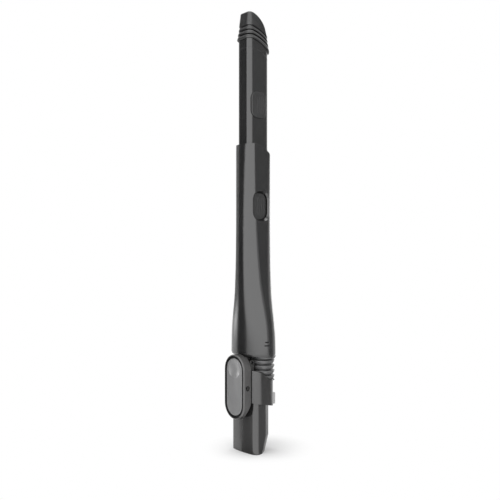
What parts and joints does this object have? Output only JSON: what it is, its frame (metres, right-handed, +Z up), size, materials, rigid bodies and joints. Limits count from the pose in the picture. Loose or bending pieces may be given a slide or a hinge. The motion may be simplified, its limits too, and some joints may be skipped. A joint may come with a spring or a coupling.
{
  "type": "telescoping crevice tool",
  "caption": "Telescoping crevice tool for a handheld vacuum with a bending bellows neck, latch paddle, push buttons and slanted ribbed rubber tip.",
  "frame": {"origin": "centre of the connector's open end, on the floor it stands on", "axes": "+Z up along the tube towards the tip; -X is the latch side; -Y is the button side"},
  "size_m": [0.0463, 0.0576, 0.4541],
  "materials": {
    "tube_plastic": "satin",
    "body_plastic": "satin",
    "paddle_plastic": "satin",
    "trim_plastic": "satin",
    "catch_plastic": "satin",
    "inner_plastic": "matt",
    "neck_rubber": "matt",
    "tip_rubber": "matt",
    "felt": "matt",
    "steel": "satin",
    "black_steel": "satin"
  },
  "bodies": {
    "base": {"connector_spigot": "body_plastic", "collar": "body_plastic", "rear_catch": "catch_plastic", "hinge_bracket": "body_plastic", "hinge_pin": "black_steel", "hinge_screws": "steel", "neck_lower_sleeve": "inner_plastic", "bellows": "neck_rubber", "latch_housing": "body_plastic", "latch_bezel": "trim_plastic", "latch_pin": "black_steel", "latch_spring": "steel", "housing_screws": "steel"},
    "arm": {"outer_tube": "tube_plastic", "neck_frame": "inner_plastic", "neck_screws": "steel", "neck_upper_sleeve": "inner_plastic", "mouth_wiper": "felt", "index_marks": "trim_plastic"},
    "slider": {"inner_tube": "tube_plastic", "slide_shoe": "inner_plastic", "nose_sleeve": "tube_plastic", "rubber_tip": "tip_rubber", "extend_carrier": "inner_plastic", "retract_carrier": "inner_plastic", "extend_spring": "steel", "retract_spring": "steel"},
    "latch": {"latch_paddle": "paddle_plastic"},
    "extend_button": {"extend_button": "tube_plastic"},
    "retract_button": {"retract_button": "tube_plastic"}
  },
  "joints": [
    {"name": "neck_hinge", "type": "hinge", "parent": "base", "child": "arm", "pos_m": [-0.0116, 0, 0.0931], "axis": [0, 1, 0], "range_deg": [0, 25], "deforming": ["bellows"]},
    {"name": "tube_slide", "type": "slide", "parent": "arm", "child": "slider", "axis": [0, 0, 1], "range_m": [-0.1045, 0]},
    {"name": "latch_rock", "type": "hinge", "parent": "base", "child": "latch", "pos_m": [-0.0206, 0, 0.0682], "axis": [0, 1, 0], "range_deg": [0, 4], "stiffness_Nm_per_rad": 0.4, "springref_deg": -5.73, "deforming": ["latch_spring"]},
    {"name": "extend_press", "type": "slide", "parent": "slider", "child": "extend_button", "axis": [0, 1, 0], "range_m": [0, 0.0018], "stiffness_N_per_m": 300, "springref_m": -0.004, "deforming": ["extend_spring"]},
    {"name": "retract_press", "type": "slide", "parent": "slider", "child": "retract_button", "axis": [0, 1, 0], "range_m": [0, 0.0018], "stiffness_N_per_m": 300, "springref_m": -0.004, "deforming": ["retract_spring"]}
  ]
}
